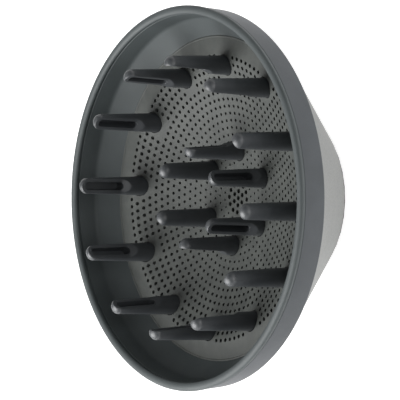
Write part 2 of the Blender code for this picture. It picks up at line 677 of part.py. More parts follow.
def build_magnets(cover_material, magnet_material):
    """Disc magnets in the collar's pockets, and the thin ring that covers them."""
    cover = ring_outline(MAGNET_CIRCLE, COVER_WIDTH, GAP, GAP + COVER_THICKNESS)
    place("magnet_cover", turned_mesh("magnet_cover", cover, SMALL_STEPS), cover_material)
    magnet = cylinders_mesh(
        "magnet", [(0.0, 0.0, 0.0)], 0.0, MAGNET_THICKNESS, MAGNET_RADIUS, 12)
    for index, (x, y, _) in enumerate(ring_points(MAGNET_COUNT, MAGNET_CIRCLE), start=1):
        place(f"magnet_{index}", magnet, magnet_material, (x, y, COVER_SEAT_DEPTH + GAP))


# ----------------------------------------------------------------------- screws
def screw_mesh(name, shank_length):
    """Round-headed screw with its head below the origin and its shank above."""
    head = SCREW_HEAD_HEIGHT
    outline = [
        (0.0, -head),
        (SCREW_HEAD_RADIUS * 0.7, -head),
        (SCREW_HEAD_RADIUS, -head * 0.4),
        (SCREW_HEAD_RADIUS, 0.0),
        (SCREW_RADIUS, 0.0),
        (SCREW_RADIUS, shank_length),
        (0.0, shank_length),
    ]
    return turned_mesh(name, outline, 10)


def build_screws(material):
    """Screws that hold the spider to the bowl, and the liner to the collar."""
    shank = LEDGE_BOTTOM - 2 * SCREW_END_CLEARANCE - SCREW_SEAT
    spider_screw = screw_mesh("spider_screw", shank)
    for index, (x, y, _) in enumerate(ring_points(LUG_COUNT, LUG_CIRCLE, LUG_TURN), start=1):
        place(f"spider_screw_{index}", spider_screw, material, (x, y, SCREW_SEAT))
    collar_seat = SPREADER_RING_BASE + SPREADER_RING_THICKNESS + GAP
    collar_screw = screw_mesh("collar_screw", collar_seat - COLLAR_HEIGHT + COLLAR_SCREW_DEPTH)
    places = ring_points(COLLAR_SCREWS, MAGNET_CIRCLE, COLLAR_TURN)
    for index, (x, y, _) in enumerate(places, start=1):
        screw = place(f"collar_screw_{index}", collar_screw, material, (x, y, collar_seat))
        screw.rotation_euler.x = pi


# ------------------------------------------------------------------ the assembly
def main():
    for old in list(bpy.data.objects):
        bpy.data.objects.remove(old, do_unlink=True)
    frame = bpy.data.objects.new("diffuser_frame", None)
    bpy.context.scene.collection.objects.link(frame)

    shell_paint = make_material("shell_paint", srgb(165, 166, 166), 0.45)
    rim_plastic = make_material("rim_plastic", srgb(97, 102, 106), 0.50)
    bowl_plastic = make_material("bowl_plastic", srgb(86, 93, 94), 0.50)
    plate_plastic = make_material("plate_plastic", srgb(106, 108, 104), 0.60)
    finger_plastic = make_material("finger_plastic", srgb(30, 32, 34), 0.35)
    frame_plastic = make_material("frame_plastic", srgb(24, 25, 27), 0.55)
    liner_plastic = make_material("liner_plastic", srgb(38, 40, 42), 0.60)
    seal_rubber = make_material("seal_rubber", srgb(20, 20, 21), 0.80)
    magnet_nickel = make_material("magnet_nickel", srgb(190, 188, 182), 0.25, 1.0)
    screw_steel = make_material("screw_steel", srgb(150, 150, 150), 0.35, 1.0)

    build_outer_shell(shell_paint)
    build_rim_band(rim_plastic)
    build_inner_bowl(bowl_plastic)
    build_plate(plate_plastic)
    build_fingers(finger_plastic, "outer_finger", OUTER_COUNT, OUTER_RING_RADIUS, OUTER_LENGTH, True)
    build_fingers(finger_plastic, "inner_finger", INNER_COUNT, INNER_RING_RADIUS, INNER_LENGTH, False)
    build_spider(frame_plastic)
    build_liner(liner_plastic)
    build_spreader(liner_plastic)
    build_collar(frame_plastic)
    build_seal(seal_rubber)
    build_magnets(frame_plastic, magnet_nickel)
    build_screws(screw_steel)


main()
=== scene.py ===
# %% [markdown]
# # A hair dryer diffuser, dressed for a studio picture
# The object is a bowl with eighteen hollow fingers, carried by a conical shell.
# The engineering model is already packed as a frame: it fixes every size.  This
# script keeps that frame, and puts finely shaped, finely finished pieces round it.

# %% Load the frame
from math import acos, cos, pi, radians, sin, sqrt

import bmesh
import bpy
from mathutils import Matrix, Vector


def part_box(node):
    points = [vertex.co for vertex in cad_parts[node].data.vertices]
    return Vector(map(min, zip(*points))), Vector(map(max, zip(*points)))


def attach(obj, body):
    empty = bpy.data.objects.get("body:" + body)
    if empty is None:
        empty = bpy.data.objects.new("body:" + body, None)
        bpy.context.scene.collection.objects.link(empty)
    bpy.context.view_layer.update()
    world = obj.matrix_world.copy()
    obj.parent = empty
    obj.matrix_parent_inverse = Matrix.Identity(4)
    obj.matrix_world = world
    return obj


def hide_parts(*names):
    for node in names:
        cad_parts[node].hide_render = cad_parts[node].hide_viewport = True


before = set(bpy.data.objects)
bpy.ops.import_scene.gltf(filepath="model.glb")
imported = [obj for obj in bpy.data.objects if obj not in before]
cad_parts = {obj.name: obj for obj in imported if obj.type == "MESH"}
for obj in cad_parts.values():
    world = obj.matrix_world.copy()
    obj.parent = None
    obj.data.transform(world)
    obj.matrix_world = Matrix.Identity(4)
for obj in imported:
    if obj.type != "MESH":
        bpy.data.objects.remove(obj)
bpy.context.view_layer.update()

MM = 0.001
print("frame:", len(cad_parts), "nodes")

# %% [markdown]
# ## Sizes
# A visual piece must sit where its engineering twin sits, so the large sizes are
# measured from the frame and not typed again.  The small ones, such as edge
# rounds, are finer than the frame carries, so they are named here.

# %% Sizes read from the frame
RIM_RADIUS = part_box("inner_bowl")[1].x
LIP_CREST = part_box("inner_bowl")[1].z
LIP_RISE = 1.3 * MM
LIP_LINE = LIP_CREST - LIP_RISE
COLLAR_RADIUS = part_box("docking_collar")[1].x
PLATE_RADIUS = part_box("diffuser_plate")[1].x
PLATE_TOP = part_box("diffuser_plate")[1].z
BAND_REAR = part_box("rim_band")[0].z
BAND_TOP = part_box("rim_band")[1].z
SHELL_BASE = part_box("outer_shell")[0].z
TIP_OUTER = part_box("outer_finger_01")[1].z
FOOT_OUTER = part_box("outer_finger_01")[0].z
TIP_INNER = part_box("inner_finger_01")[1].z
FOOT_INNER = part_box("inner_finger_01")[0].z


def middle_radius(name):
    """Distance from the axis to the middle of a node on the +X side."""
    low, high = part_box(name)
    return (low.x + high.x) / 2


OUTER_COUNT, INNER_COUNT = 12, 6
OUTER_RING = middle_radius("outer_finger_01")
INNER_RING = middle_radius("inner_finger_01")
print("rim", round(RIM_RADIUS / MM, 2), "plate", round(PLATE_RADIUS / MM, 2),
      "finger rings", round(OUTER_RING / MM, 2), round(INNER_RING / MM, 2))

# %% [markdown]
# ### The shared cone
# Shell and bowl are nested cones, like two paper cups.  Their walls could be drawn
# separately, but then a gap or an overlap creeps in.  So both are offsets from one
# line, the shell's outside, and two helpers answer for any depth below it.

# %% Sizes of the cone that the shell and the bowl share
SHELL_BASE_RADIUS = COLLAR_RADIUS + 1.15 * MM
SHELL_RIM_RADIUS = RIM_RADIUS - 1.8 * MM
CONE_SLOPE = (BAND_REAR - SHELL_BASE) / (SHELL_RIM_RADIUS - SHELL_BASE_RADIUS)
CONE_COSINE = 1 / sqrt(1 + CONE_SLOPE ** 2)


def cone_height(radius, depth):
    """Height of the surface that lies depth inside the shell's outside."""
    return SHELL_BASE + (radius - SHELL_BASE_RADIUS) * CONE_SLOPE + depth / CONE_COSINE


def cone_radius(height, depth):
    """Radius of that surface at a height."""
    return SHELL_BASE_RADIUS + (height - SHELL_BASE - depth / CONE_COSINE) / CONE_SLOPE


SHELL_WALL = 1.6 * MM
BOWL_OUTSIDE = 2.5 * MM
BOWL_INSIDE = 4.0 * MM
print("cone slope", round(CONE_SLOPE, 4))

# %% [markdown]
# ## Colours and materials
# Paint and plastics are described by sRGB hex values, which one function turns to
# linear light.  One helper adds a node with its settings and its links, so every
# material below reads as a short recipe.

# %% Two helpers for node trees
def linear(code):
    """Linear RGBA from an sRGB hex code."""
    values = []
    for start in (0, 2, 4):
        share = int(code[start:start + 2], 16) / 255
        values.append(share / 12.92 if share <= 0.04045 else ((share + 0.055) / 1.055) ** 2.4)
    return (*values, 1.0)


def add(tree, kind, inputs=None, **settings):
    """Add a node.  An input's value is a plain value or another node's output."""
    made = tree.nodes.new(kind)
    for name, value in settings.items():
        setattr(made, name, value)
    for key, value in (inputs or {}).items():
        if isinstance(value, bpy.types.NodeSocket):
            tree.links.new(value, made.inputs[key])
        else:
            made.inputs[key].default_value = value
    return made


def moulded(name, dark, light, blotch, roughness, grain, grain_height,
            ior=1.5, spread=0.06):
    """A moulded or sprayed surface: faint blotches of colour, and a fine grain in the gloss."""
    material = bpy.data.materials.new(name)
    material.use_nodes = True
    tree = material.node_tree
    shader = tree.nodes["Principled BSDF"]
    shader.inputs["IOR"].default_value = ior
    place = add(tree, "ShaderNodeTexCoord")
    cloud = add(tree, "ShaderNodeTexNoise", {"Vector": place.outputs["Object"],
                "Scale": 1 / blotch, "Detail": 4.0, "Roughness": 0.55})
    colour = add(tree, "ShaderNodeValToRGB", {"Fac": cloud.outputs["Fac"]})
    colour.color_ramp.elements[0].position = 0.35
    colour.color_ramp.elements[0].color = linear(dark)
    colour.color_ramp.elements[1].position = 0.65
    colour.color_ramp.elements[1].color = linear(light)
    tree.links.new(colour.outputs["Color"], shader.inputs["Base Color"])
    speck = add(tree, "ShaderNodeTexNoise", {"Vector": place.outputs["Object"],
                "Scale": 1 / grain, "Detail": 2.0, "Roughness": 0.6})
    gloss = add(tree, "ShaderNodeMapRange", {"Value": speck.outputs["Fac"], "From Min": 0.3,
                "From Max": 0.7, "To Min": roughness - spread, "To Max": roughness + spread})
    tree.links.new(gloss.outputs["Result"], shader.inputs["Roughness"])
    bump = add(tree, "ShaderNodeBump", {"Height": speck.outputs["Fac"], "Distance": grain_height,
               "Strength": 1.0})
    tree.links.new(bump.outputs["Normal"], shader.inputs["Normal"])
    return material


# %% [markdown]
# ### The finishes
# - The shell is ABS sprayed with a satin silver-grey lacquer: even colour, a soft
#   wide highlight, and the slight orange-peel that sprayed lacquer dries to.
# - The trim band and the bowl are moulded glass-filled nylon: heat resistant, with
#   a fine spark-eroded grain that spreads the highlight.
# - The plate is the mattest piece, so that its dish doesn't glare.
# - The fingers are a smooth dark nylon, the glossiest plastic here.

# %% Make the finishes
# Each call gives: name, two close colours, blotch size, roughness, grain size, grain height.
# Lacquer over ABS: orange peel runs about 0.8 mm from crest to crest, and is only
# microns high.  It gives a soft, wide, slightly uneven highlight.
shell_lacquer = moulded("satin_sprayed_lacquer", "6B6C6A", "70716F",
                        22 * MM, 0.45, 0.8 * MM, 0.004 * MM)
# Spark-eroded grain on glass-filled nylon is about 0.1 mm; it is drawn at 0.35 mm so
# that it still shows.  It spreads the highlight until the ring looks almost matt.
band_nylon = moulded("moulded_band_nylon", "393D41", "3F4347",
                     14 * MM, 0.55, 0.35 * MM, 0.008 * MM)
# The same grain and nylon in a slightly greener batch.
bowl_nylon = moulded("moulded_bowl_nylon", "3D4344", "43494A",
                     18 * MM, 0.58, 0.35 * MM, 0.008 * MM)
# Matt moulded nylon: the deepest grain here, so that the dish doesn't glare.
plate_nylon = moulded("matt_moulded_plate_nylon", "3B3E3C", "444744",
                      5 * MM, 0.62, 0.35 * MM, 0.014 * MM)
# Polished-tool nylon, dark and smooth.  The index is on the high side for nylon,
# which brings out how each finger reflects the bright room at its tip.
finger_nylon = moulded("smooth_dark_finger_nylon", "373A3D", "3D4043",
                       8 * MM, 0.45, 0.3 * MM, 0.005 * MM, ior=1.65)
# Glass-filled nylon as it leaves the tool, for parts that nobody sees in use.
frame_nylon = moulded("black_glass_filled_nylon", "141517", "1A1B1D",
                      10 * MM, 0.52, 0.4 * MM, 0.012 * MM)
# Heat-stabilised nylon: black, and a little more matt.
liner_nylon = moulded("black_heat_resistant_nylon", "17181A", "1E2022",
                      12 * MM, 0.58, 0.4 * MM, 0.012 * MM)
# Moulded silicone: soft, matt, and of a lower index than the plastics.
seal_silicone = moulded("moulded_black_silicone", "111112", "171718",
                        6 * MM, 0.75, 0.3 * MM, 0.010 * MM, ior=1.42)
# Nickel plate, barrelled, so bright but not a mirror.
magnet_nickel = moulded("barrelled_nickel_plate", "B9B6AF", "C4C1BA",
                        2 * MM, 0.28, 0.3 * MM, 0.002 * MM)
# Zinc-plated steel: grey, with the slightly uneven gloss of a plating bath.
screw_steel = moulded("zinc_plated_screw_steel", "8E9092", "9DA0A2",
                      1.5 * MM, 0.34, 0.25 * MM, 0.003 * MM)
for metal in (magnet_nickel, screw_steel):
    metal.node_tree.nodes["Principled BSDF"].inputs["Metallic"].default_value = 1.0
print("finishes:", len(bpy.data.materials))

# %% [markdown]
# ## Turned pieces
# The shell, band, bowl and collar are all turned shapes, so each is one closed
# section spun round the axis.  A moulded edge is never a knife edge: each corner
# of a section has its own small round, which is what catches the light.

# %% Helpers for turned pieces
TURN_STEPS = 192
CORNER_STEPS = 4


def rounded(corners):
    """Closed section from (radius, height, round) corners, each round drawn as a short curve."""
    points = []
    count = len(corners)
    for index, (radius, height, size) in enumerate(corners):
        here = Vector((radius, height))
        if size <= 0:
            points.append(here)
            continue
        before = Vector(corners[index - 1][:2]) - here
        after = Vector(corners[(index + 1) % count][:2]) - here
        reach = min(size, before.length * 0.45, after.length * 0.45)
        first = here + before.normalized() * reach
        last = here + after.normalized() * reach
        for step in range(CORNER_STEPS + 1):
            share = step / CORNER_STEPS
            points.append(first.lerp(here, share).lerp(here.lerp(last, share), share))
    return points


def keep_mesh(name, bm, angle=32):
    """Close a bmesh into an object at the origin, smooth except at real edges."""
    bmesh.ops.remove_doubles(bm, verts=bm.verts, dist=1e-7)
    bmesh.ops.dissolve_degenerate(bm, edges=bm.edges, dist=1e-8)
    bmesh.ops.recalc_face_normals(bm, faces=bm.faces)
    mesh = bpy.data.meshes.new(name)
    bm.to_mesh(mesh)
    bm.free()
    mesh.shade_smooth()
    mesh.set_sharp_from_angle(angle=radians(angle))
    piece = bpy.data.objects.new(name, mesh)
    bpy.context.scene.collection.objects.link(piece)
    return piece


def turned(name, section, steps=TURN_STEPS):
    """Spin a closed section round the axis.  A point on the axis becomes a pole."""
    bm = bmesh.new()
    rings = []
    for radius, height in section:
        if radius < 1e-7:
            rings.append([bm.verts.new((0, 0, height))] * steps)
            continue
        turns = [2 * pi * k / steps for k in range(steps)]
        rings.append([bm.verts.new((radius * cos(turn), radius * sin(turn), height))
                      for turn in turns])
    for lower, upper in zip(rings, rings[1:] + rings[:1]):
        for k in range(steps):
            after = (k + 1) % steps
            corners = []
            for vert in (lower[k], lower[after], upper[after], upper[k]):
                if vert not in corners:
                    corners.append(vert)
            if len(corners) > 2:
                bm.faces.new(corners)
    return keep_mesh(name, bm)


def dress(piece, finish, slot, *nodes):
    """Give a piece its finish, hang it on the frame, and hide the nodes it stands for."""
    piece.data.materials.clear()
    piece.data.materials.append(finish)
    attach(piece, "root")
    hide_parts(*nodes)
    print(piece.name, len(piece.data.polygons), "faces")


# %% [markdown]
# ### The shell
# A thin cone.  Its small end turns in under the collar, and its large end steps
# in to a spigot that enters the trim band.

# %% Turn the shell
tongue_outer = SHELL_RIM_RADIUS - 0.3 * MM
tongue_inner = tongue_outer - 0.8 * MM
tongue_top = cone_height(tongue_inner - 0.3 * MM, BOWL_OUTSIDE)
flange_top = SHELL_BASE + 1.6 * MM
shell = turned("conical_shell", rounded([
    (COLLAR_RADIUS - 2.2 * MM, SHELL_BASE, 0.2 * MM),
    (SHELL_BASE_RADIUS, SHELL_BASE, 0.35 * MM),
    (tongue_outer, cone_height(tongue_outer, 0), 0.25 * MM),
    (tongue_outer, tongue_top, 0.2 * MM),
    (tongue_inner, tongue_top, 0.2 * MM),
    (tongue_inner, cone_height(tongue_inner, SHELL_WALL), 0.2 * MM),
    (cone_radius(flange_top, SHELL_WALL), flange_top, 0.6 * MM),
    (COLLAR_RADIUS - 2.2 * MM, flange_top, 0.2 * MM),
]))
dress(shell, shell_lacquer, "shell_paint", "outer_shell")

# %% [markdown]
# ### The trim band
# On the real object this ring hides the joint between the shell and the bowl, and
# takes the knocks.  It could be part of the bowl, but it has its own colour, so it
# is its own ring.  It meets the lip flush, with only a hairline parting line.

# %% Turn the band
PARTING_GAP = 0.02 * MM
band_seam = BAND_TOP + 0.3 * MM - PARTING_GAP
band_top_radius = RIM_RADIUS - 0.3 * MM
band_rear_radius = RIM_RADIUS - 1.1 * MM
wall_outer = RIM_RADIUS - 2.7 * MM
band = turned("trim_band", rounded([
    (SHELL_RIM_RADIUS, BAND_REAR, 0.15 * MM),
    (band_rear_radius, BAND_REAR, 0.55 * MM),
    (band_top_radius, band_seam, 0.10 * MM),
    (wall_outer + 0.3 * MM, band_seam, 0.2 * MM),
    (wall_outer + 0.3 * MM, tongue_top + 0.3 * MM, 0.1 * MM),
    (SHELL_RIM_RADIUS, tongue_top + 0.3 * MM, 0.1 * MM),
]))
dress(band, band_nylon, "rim_plastic", "rim_band")

# %% [markdown]
# ### The bowl
# One moulding: a rolled lip, a steep wall, a cone, and the ledge that the plate
# lies on.  Only the rolled lip is a true curve, so its section comes from an
# ellipse, and the rest is corners with small rounds.

# %% Turn the bowl
LIP_WIDTH = 3.7 * MM
LIP_STEPS = 24
LIP_TURN = 216
lip_centre = RIM_RADIUS - LIP_WIDTH / 2
lip_inner = RIM_RADIUS - LIP_WIDTH
wall_foot = lip_inner - 1.0 * MM
lip_under = BAND_TOP + 0.3 * MM
ledge_top = PLATE_TOP - 1.5 * MM
ledge_bottom = ledge_top - 2.0 * MM
recess = cone_radius(PLATE_TOP, BOWL_INSIDE)
ledge_inner = PLATE_RADIUS - 5.8 * MM

section = []
for step in range(LIP_STEPS + 1):
    angle = radians(180 - LIP_TURN * step / LIP_STEPS)
    section.append(Vector((lip_centre + LIP_WIDTH / 2 * cos(angle),
                           LIP_LINE + LIP_RISE * sin(angle))))
section += rounded([
    (band_top_radius, lip_under, 0.10 * MM),
    (wall_outer, lip_under, 0.2 * MM),
    (wall_outer, cone_height(wall_outer, BOWL_OUTSIDE), 0.4 * MM),
    (cone_radius(ledge_bottom, BOWL_OUTSIDE), ledge_bottom, 0.3 * MM),
    (ledge_inner, ledge_bottom, 0.2 * MM),
    (ledge_inner, ledge_top, 0.2 * MM),
    (recess, ledge_top, 0.0),
    (recess, PLATE_TOP, 0.0),
    (wall_foot, cone_height(wall_foot, BOWL_INSIDE), 1.1 * MM),
    (lip_inner, LIP_LINE - 1.0 * MM, 0.3 * MM),
])
bowl = turned("rolled_lip_bowl", section)
dress(bowl, bowl_nylon, "bowl_plastic", "inner_bowl")

# %% [markdown]
# ## Geometry Nodes for whatever stands in a ring
# The fingers repeat round the axis in two rings.  They could be copied by hand, but
# then a change of count would mean moving every copy.  This tree puts copies of any
# mesh on a ring; its inputs are the count, the ring's radius, the first angle, the
# height, and how far each copy is turned about its own axis.

# %% Build the ring tree
def new_tree(name, sockets):
    """A tree with geometry in and out, and one named input for each (name, kind)."""
    tree = bpy.data.node_groups.new(name, "GeometryNodeTree")
    tree.interface.new_socket("Geometry", in_out="INPUT", socket_type="NodeSocketGeometry")
    for label, kind in sockets:
        tree.interface.new_socket(label, in_out="INPUT", socket_type="NodeSocket" + kind)
    tree.interface.new_socket("Geometry", in_out="OUTPUT", socket_type="NodeSocketGeometry")
    return tree, tree.nodes.new("NodeGroupInput").outputs, tree.nodes.new("NodeGroupOutput")


def settle(piece, tree, values):
    """Run a tree on a piece with named values, and keep the result as its plain mesh."""
    modifier = piece.modifiers.new(tree.name, "NODES")
    modifier.node_group = tree
    for item in tree.interface.items_tree:
        if item.in_out == "INPUT" and item.name in values:
            modifier[item.identifier] = values[item.name]
    bpy.context.view_layer.update()
    evaluated = piece.evaluated_get(bpy.context.evaluated_depsgraph_get())
    result = bpy.data.meshes.new_from_object(evaluated)
    piece.modifiers.clear()
    piece.data = result
    return piece


ring_tree, given, out = new_tree("copies_in_a_ring", [
    ("Count", "Int"), ("Ring Radius", "Float"), ("First Angle", "Float"),
    ("Height", "Float"), ("Own Turn", "Float"), ("Finish", "Material")])
circle = add(ring_tree, "GeometryNodeMeshCircle", {
    "Vertices": given["Count"], "Radius": given["Ring Radius"]})
order = add(ring_tree, "GeometryNodeInputIndex")
share = add(ring_tree, "ShaderNodeMath",
            {0: order.outputs[0], 1: given["Count"]}, operation="DIVIDE")
angle = add(ring_tree, "ShaderNodeMath", {0: share.outputs[0], 1: 2 * pi}, operation="MULTIPLY")
own = add(ring_tree, "ShaderNodeMath",
          {0: angle.outputs[0], 1: given["Own Turn"]}, operation="ADD")
facing = add(ring_tree, "ShaderNodeCombineXYZ", {"Z": own.outputs[0]})
copies = add(ring_tree, "GeometryNodeInstanceOnPoints", {
    "Points": circle.outputs["Mesh"], "Instance": given["Geometry"],
    "Rotation": facing.outputs[0]})
lift = add(ring_tree, "ShaderNodeCombineXYZ", {"Z": given["Height"]})
turn = add(ring_tree, "ShaderNodeCombineXYZ", {"Z": given["First Angle"]})
placed = add(ring_tree, "GeometryNodeTransform", {
    "Geometry": copies.outputs[0], "Translation": lift.outputs[0],
    "Rotation": turn.outputs[0]})
real = add(ring_tree, "GeometryNodeRealizeInstances", {"Geometry": placed.outputs[0]})
finish = add(ring_tree, "GeometryNodeSetMaterial", {
    "Geometry": real.outputs[0], "Material": given["Finish"]})
ring_tree.links.new(finish.outputs[0], out.inputs[0])
print("ring tree:", len(ring_tree.nodes), "nodes")

# %% [markdown]
# ## The perforated plate
# The dish is a shallow sphere that rolls into a flat border.  Its holes follow a
# rule that is easy to tell: ring n lies n pitches from the centre and has 6n holes,
# the first of them on one fixed line.  So hole number i has its ring from a square
# root, its place in the ring from what is left over, and no list is needed.  The
# holes grow slowly towards the edge, the innermost two rings are a rose of large
# ones, and any hole too near a finger is left out, so each has a plain collar.
# The blank could be drilled by boolean objects one at a time, which is slow; here the
# tree makes every drill at once, and one manifold boolean cuts them all.

# %% Turn the plate's blank
PLATE_THICKNESS = 1.2 * MM
EDGE_FIT = 0.02 * MM
plate_edge = recess - EDGE_FIT
DISH_DEPTH = 12.2 * MM
DISH_SPAN = PLATE_RADIUS - 9.35 * MM
DISH_CURVE = (DISH_SPAN ** 2 + DISH_DEPTH ** 2) / (2 * DISH_DEPTH)
ROLL_REACH = 2.0 * MM
DISH_RINGS = 26


def dish_height(radius):
    """Height of the sphere at a distance from the axis."""
    return PLATE_TOP - DISH_DEPTH + DISH_CURVE - sqrt(DISH_CURVE ** 2 - radius ** 2)


upper = []
last = DISH_SPAN - ROLL_REACH
for step in range(DISH_RINGS + 1):
    radius = last * step / DISH_RINGS
    upper.append(Vector((radius, dish_height(radius))))
start, bend = upper[-1], Vector((DISH_SPAN, PLATE_TOP))
end = Vector((DISH_SPAN + ROLL_REACH, PLATE_TOP))
for step in range(1, 7):
    part = step / 6
    upper.append(start.lerp(bend, part).lerp(bend.lerp(end, part), part))
# A low bead stiffens the plate's edge and takes a thin highlight all the way round.
BEAD_WIDTH, BEAD_HEIGHT = 0.9 * MM, 0.22 * MM
for step in range(9):
    angle = pi * step / 8
    upper.append(Vector((plate_edge - BEAD_WIDTH / 2 * (1 + cos(angle)),
                         PLATE_TOP + BEAD_HEIGHT * sin(angle))))
under = [Vector((p.x, p.y - PLATE_THICKNESS)) for p in upper[:DISH_RINGS + 7]]
under.append(Vector((plate_edge, PLATE_TOP - PLATE_THICKNESS)))
plate = turned("perforated_plate", upper + under[::-1], 160)

# %% [markdown]
# ### The drilling rule
# The tree counts holes from 0.  It works out each hole's ring and place, lifts it to
# the dish, drops those near a finger, and stands a drill on each of the others.

# %% Build the perforation tree
plate_tree, given, out = new_tree("ring_perforations", [
    ("Holes", "Int"), ("Pitch", "Float"), ("Smallest Radius", "Float"),
    ("Growth Per Ring", "Float"), ("Rose Rings", "Float"), ("Rose Radius", "Float"),
    ("Dish Curve", "Float"), ("Dish Bottom", "Float"), ("Outer Ring", "Float"),
    ("Inner Ring", "Float"), ("Seat Radius", "Float"), ("Plain Margin", "Float"),
    ("Finish", "Material")])


def maths(operation, first, second=0.0, third=0.0):
    """What a Math node gives in the perforation tree."""
    made = add(plate_tree, "ShaderNodeMath", {0: first, 1: second, 2: third},
               operation=operation)
    return made.outputs[0]


index = add(plate_tree, "GeometryNodeInputIndex").outputs[0]
number = maths("MAXIMUM", maths("SUBTRACT", index, 1.0), 0.0)
root = maths("SQRT", maths("MULTIPLY_ADD", number, 4 / 3, 1.0))
ring = maths("FLOOR", maths("MULTIPLY", maths("ADD", root, 1.0001), 0.5))
ring = maths("MULTIPLY", ring, maths("GREATER_THAN", index, 0.5))
before = maths("MULTIPLY", maths("MULTIPLY", ring, maths("SUBTRACT", ring, 1.0)), 3.0)
order = maths("SUBTRACT", number, before)
around = maths("DIVIDE", order, maths("MAXIMUM", maths("MULTIPLY", ring, 6.0), 1.0))
angle = maths("MULTIPLY", around, 2 * pi)
reach = maths("MULTIPLY", ring, given["Pitch"])
flat = add(plate_tree, "ShaderNodeCombineXYZ", {
    "X": maths("MULTIPLY", reach, maths("COSINE", angle)),
    "Y": maths("MULTIPLY", reach, maths("SINE", angle))})
dots = add(plate_tree, "GeometryNodePoints", {
    "Count": given["Holes"], "Position": flat.outputs[0]})
fingers_out = add(plate_tree, "GeometryNodeMeshCircle", {
    "Vertices": OUTER_COUNT, "Radius": given["Outer Ring"]})
fingers_in = add(plate_tree, "GeometryNodeMeshCircle", {
    "Vertices": INNER_COUNT, "Radius": given["Inner Ring"]})
feet = add(plate_tree, "GeometryNodeJoinGeometry")
plate_tree.links.new(fingers_out.outputs["Mesh"], feet.inputs[0])
plate_tree.links.new(fingers_in.outputs["Mesh"], feet.inputs[0])
near = add(plate_tree, "GeometryNodeProximity", {0: feet.outputs[0]},
           target_element="POINTS")
is_rose = maths("LESS_THAN", ring, maths("ADD", given["Rose Rings"], 0.5))
growth = maths("MULTIPLY", ring, given["Growth Per Ring"])
grown = maths("ADD", growth, given["Smallest Radius"])
bore = add(plate_tree, "GeometryNodeSwitch", {
    "Switch": is_rose, "False": grown, "True": given["Rose Radius"]},
    input_type="FLOAT").outputs[0]
limit = maths("ADD", maths("ADD", given["Seat Radius"], given["Plain Margin"]), bore)
crowded = maths("LESS_THAN", near.outputs["Distance"], limit)
stored = add(plate_tree, "GeometryNodeStoreNamedAttribute", {
    "Geometry": dots.outputs[0], "Name": "bore", "Value": bore},
    data_type="FLOAT", domain="POINT")
crowd = add(plate_tree, "GeometryNodeStoreNamedAttribute", {
    "Geometry": stored.outputs[0], "Name": "crowded", "Value": crowded},
    data_type="FLOAT", domain="POINT")
is_crowded = add(plate_tree, "GeometryNodeInputNamedAttribute", {"Name": "crowded"},
                 data_type="FLOAT")
kept = add(plate_tree, "GeometryNodeDeleteGeometry", {
    "Geometry": crowd.outputs[0], "Selection": is_crowded.outputs[0]}, domain="POINT")
spot = add(plate_tree, "GeometryNodeInputPosition")
length = add(plate_tree, "ShaderNodeVectorMath", {0: spot.outputs[0]},
             operation="LENGTH").outputs["Value"]
squares = maths("SUBTRACT", maths("POWER", given["Dish Curve"], 2.0),
                maths("POWER", length, 2.0))
height = maths("ADD", given["Dish Bottom"],
               maths("SUBTRACT", given["Dish Curve"], maths("SQRT", squares)))
raise_by = add(plate_tree, "ShaderNodeCombineXYZ", {"Z": height})
lifted = add(plate_tree, "GeometryNodeSetPosition", {
    "Geometry": kept.outputs[0], "Offset": raise_by.outputs[0]})
# A drill is longer than the plate is thick, so it passes right through.  Its radius of 1
# is scaled on each point.
DRILL_LENGTH, DRILL_SIDES = 6.0 * MM, 12
drill = add(plate_tree, "GeometryNodeMeshCylinder", {
    "Vertices": DRILL_SIDES, "Radius": 1.0, "Depth": DRILL_LENGTH})
bore_back = add(plate_tree, "GeometryNodeInputNamedAttribute", {"Name": "bore"},
                data_type="FLOAT").outputs[0]
widths = add(plate_tree, "ShaderNodeCombineXYZ", {"X": bore_back, "Y": bore_back, "Z": 1.0})
drills = add(plate_tree, "GeometryNodeInstanceOnPoints", {
    "Points": lifted.outputs[0], "Instance": drill.outputs["Mesh"],
    "Scale": widths.outputs[0]})
SEAT_DRILL_LENGTH, SEAT_SIDES = 50 * MM, 48
seat = add(plate_tree, "GeometryNodeMeshCylinder", {
    "Vertices": SEAT_SIDES, "Radius": given["Seat Radius"], "Depth": SEAT_DRILL_LENGTH})
seats = add(plate_tree, "GeometryNodeInstanceOnPoints", {
    "Points": feet.outputs[0], "Instance": seat.outputs["Mesh"]})
seat_lift = add(plate_tree, "ShaderNodeCombineXYZ", {"Z": given["Dish Bottom"]})
seats_up = add(plate_tree, "GeometryNodeTransform", {
    "Geometry": seats.outputs[0], "Translation": seat_lift.outputs[0]})
cutters = add(plate_tree, "GeometryNodeJoinGeometry")
plate_tree.links.new(drills.outputs[0], cutters.inputs[0])
plate_tree.links.new(seats_up.outputs[0], cutters.inputs[0])
solid_cutters = add(plate_tree, "GeometryNodeRealizeInstances", {
    "Geometry": cutters.outputs[0]})
cut = add(plate_tree, "GeometryNodeMeshBoolean", {
    0: given["Geometry"], 1: solid_cutters.outputs[0]},
    operation="DIFFERENCE", solver="MANIFOLD")
real = add(plate_tree, "GeometryNodeRealizeInstances", {"Geometry": cut.outputs[0]})
finish = add(plate_tree, "GeometryNodeSetMaterial", {
    "Geometry": real.outputs[0], "Material": given["Finish"]})
plate_tree.links.new(finish.outputs[0], out.inputs[0])
print("perforation tree:", len(plate_tree.nodes), "nodes")

# %% [markdown]
# ### The drilling
# The sizes go in by name.  The result is measured: a closed plate has no edge with
# other than two faces, and its Euler number tells how many holes go right through.

